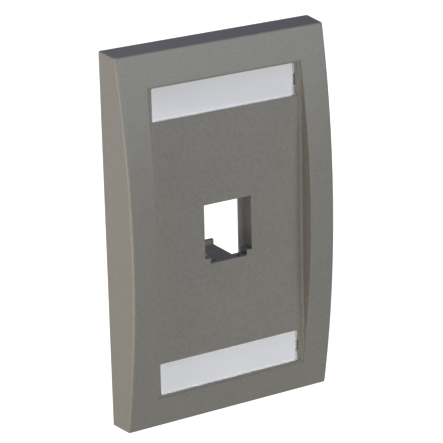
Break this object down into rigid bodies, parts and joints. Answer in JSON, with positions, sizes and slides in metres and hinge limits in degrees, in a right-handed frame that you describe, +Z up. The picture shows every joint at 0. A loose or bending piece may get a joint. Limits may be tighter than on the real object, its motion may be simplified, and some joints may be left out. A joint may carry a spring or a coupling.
{
  "type": "keystone faceplate",
  "caption": "Upright wall faceplate with a bowed front, side rails, a sunk flat panel with a jack opening, label windows under clear covers, and mounting screws.",
  "frame": {"origin": "on the wall plane, at the centre of the plate's rim and midway between the wall screws", "axes": "+X to the viewer's right, +Y into the wall, +Z up; the front faces -Y"},
  "size_m": [0.0698, 0.025, 0.1142],
  "materials": {
    "moulded_plastic": "fine moulded texture, warm grey",
    "clear_plastic": "clear, polished",
    "label_paper": null,
    "screw_steel": "zinc-plated steel"
  },
  "bodies": {
    "plate": {"faceplate": "moulded_plastic", "upper_label": "label_paper", "lower_label": "label_paper"},
    "upper_cover": {"upper_label_cover": "clear_plastic"},
    "lower_cover": {"lower_label_cover": "clear_plastic"},
    "upper_screw": {"upper_mounting_screw": "screw_steel"},
    "lower_screw": {"lower_mounting_screw": "screw_steel"}
  },
  "joints": [
    {"name": "upper_cover_lift_off", "type": "slide", "parent": "plate", "child": "upper_cover", "axis": [0, -1, 0], "range_m": [0, 0.02]},
    {"name": "lower_cover_lift_off", "type": "slide", "parent": "plate", "child": "lower_cover", "axis": [0, -1, 0], "range_m": [0, 0.02]},
    {"name": "upper_screw_turn", "type": "hinge", "parent": "plate", "child": "upper_screw", "pos_m": [0, 0, 0.04167], "axis": [0, 1, 0], "continuous": true},
    {"name": "lower_screw_turn", "type": "hinge", "parent": "plate", "child": "lower_screw", "pos_m": [0, 0, -0.04167], "axis": [0, 1, 0], "continuous": true}
  ]
}
